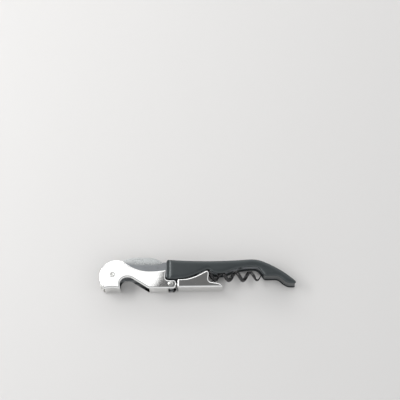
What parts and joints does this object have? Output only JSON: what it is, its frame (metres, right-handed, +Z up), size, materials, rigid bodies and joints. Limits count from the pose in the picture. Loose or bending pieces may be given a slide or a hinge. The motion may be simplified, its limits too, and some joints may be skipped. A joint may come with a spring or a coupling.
{
  "type": "waiters corkscrew",
  "caption": "Folding waiter's corkscrew with a black handle, steel lever in two hinged steps, cap lifter, foil knife and coated worm.",
  "frame": {"origin": "under the middle of the closed corkscrew, on the surface that it lies on", "axes": "+X along the closed corkscrew from the round head to the handle's tail, +Y towards the back of the handle where the knife folds in, +Z up, through the handle's thickness"},
  "size_m": [0.1244, 0.0218, 0.0126],
  "materials": {
    "lever_steel": "mirror-polished stainless steel",
    "frame_steel": "satin stainless steel",
    "rivet_steel": "polished steel rivets",
    "blade_steel": "fine ground blade steel",
    "cover_black": "satin moulded black plastic",
    "worm_black": "smooth black low-friction coating on steel"
  },
  "bodies": {
    "handle": {"liner_front": "frame_steel", "liner_back": "frame_steel", "cover_front": "cover_black", "cover_back": "cover_black", "back_spring": "frame_steel", "spring_rivet": "rivet_steel", "frame_rivets": "rivet_steel", "frame_spacer_1": "frame_steel", "frame_spacer_2": "frame_steel", "tail_spacer": "cover_black", "pivot_rivet": "rivet_steel", "knife_washer_front": "frame_steel", "knife_washer_back": "frame_steel", "lever_washer_front": "frame_steel", "lever_washer_back": "frame_steel", "worm_rivet": "rivet_steel", "worm_washer_front": "frame_steel", "worm_washer_back": "frame_steel"},
    "lever": {"first_lever": "lever_steel", "hinge_rivet": "rivet_steel", "hinge_bush": "frame_steel"},
    "lever_tip": {"second_lever": "lever_steel"},
    "knife": {"knife_blade": "blade_steel"},
    "worm": {"worm_hub": "worm_black", "worm_screw": "worm_black"}
  },
  "joints": [
    {"name": "lever_swing", "type": "hinge", "parent": "handle", "child": "lever", "pos_m": [-0.05382, -0.00152, 0.0063], "axis": [0, 0, -1], "range_deg": [0, 175]},
    {"name": "step_fold", "type": "hinge", "parent": "lever", "child": "lever_tip", "pos_m": [-0.01692, -0.00752, 0.0063], "axis": [0, 0, -1], "range_deg": [0, 75]},
    {"name": "knife_open", "type": "hinge", "parent": "handle", "child": "knife", "pos_m": [-0.05382, -0.00152, 0.0063], "axis": [0, 0, 1], "range_deg": [0, 180]},
    {"name": "worm_open", "type": "hinge", "parent": "handle", "child": "worm", "pos_m": [-0.01132, 0.00008, 0.0063], "axis": [0, 0, -1], "range_deg": [0, 88]}
  ],
  "couplings": [
    {"joint": "worm_open", "follows": "lever_swing", "ratio": 0.5}
  ]
}
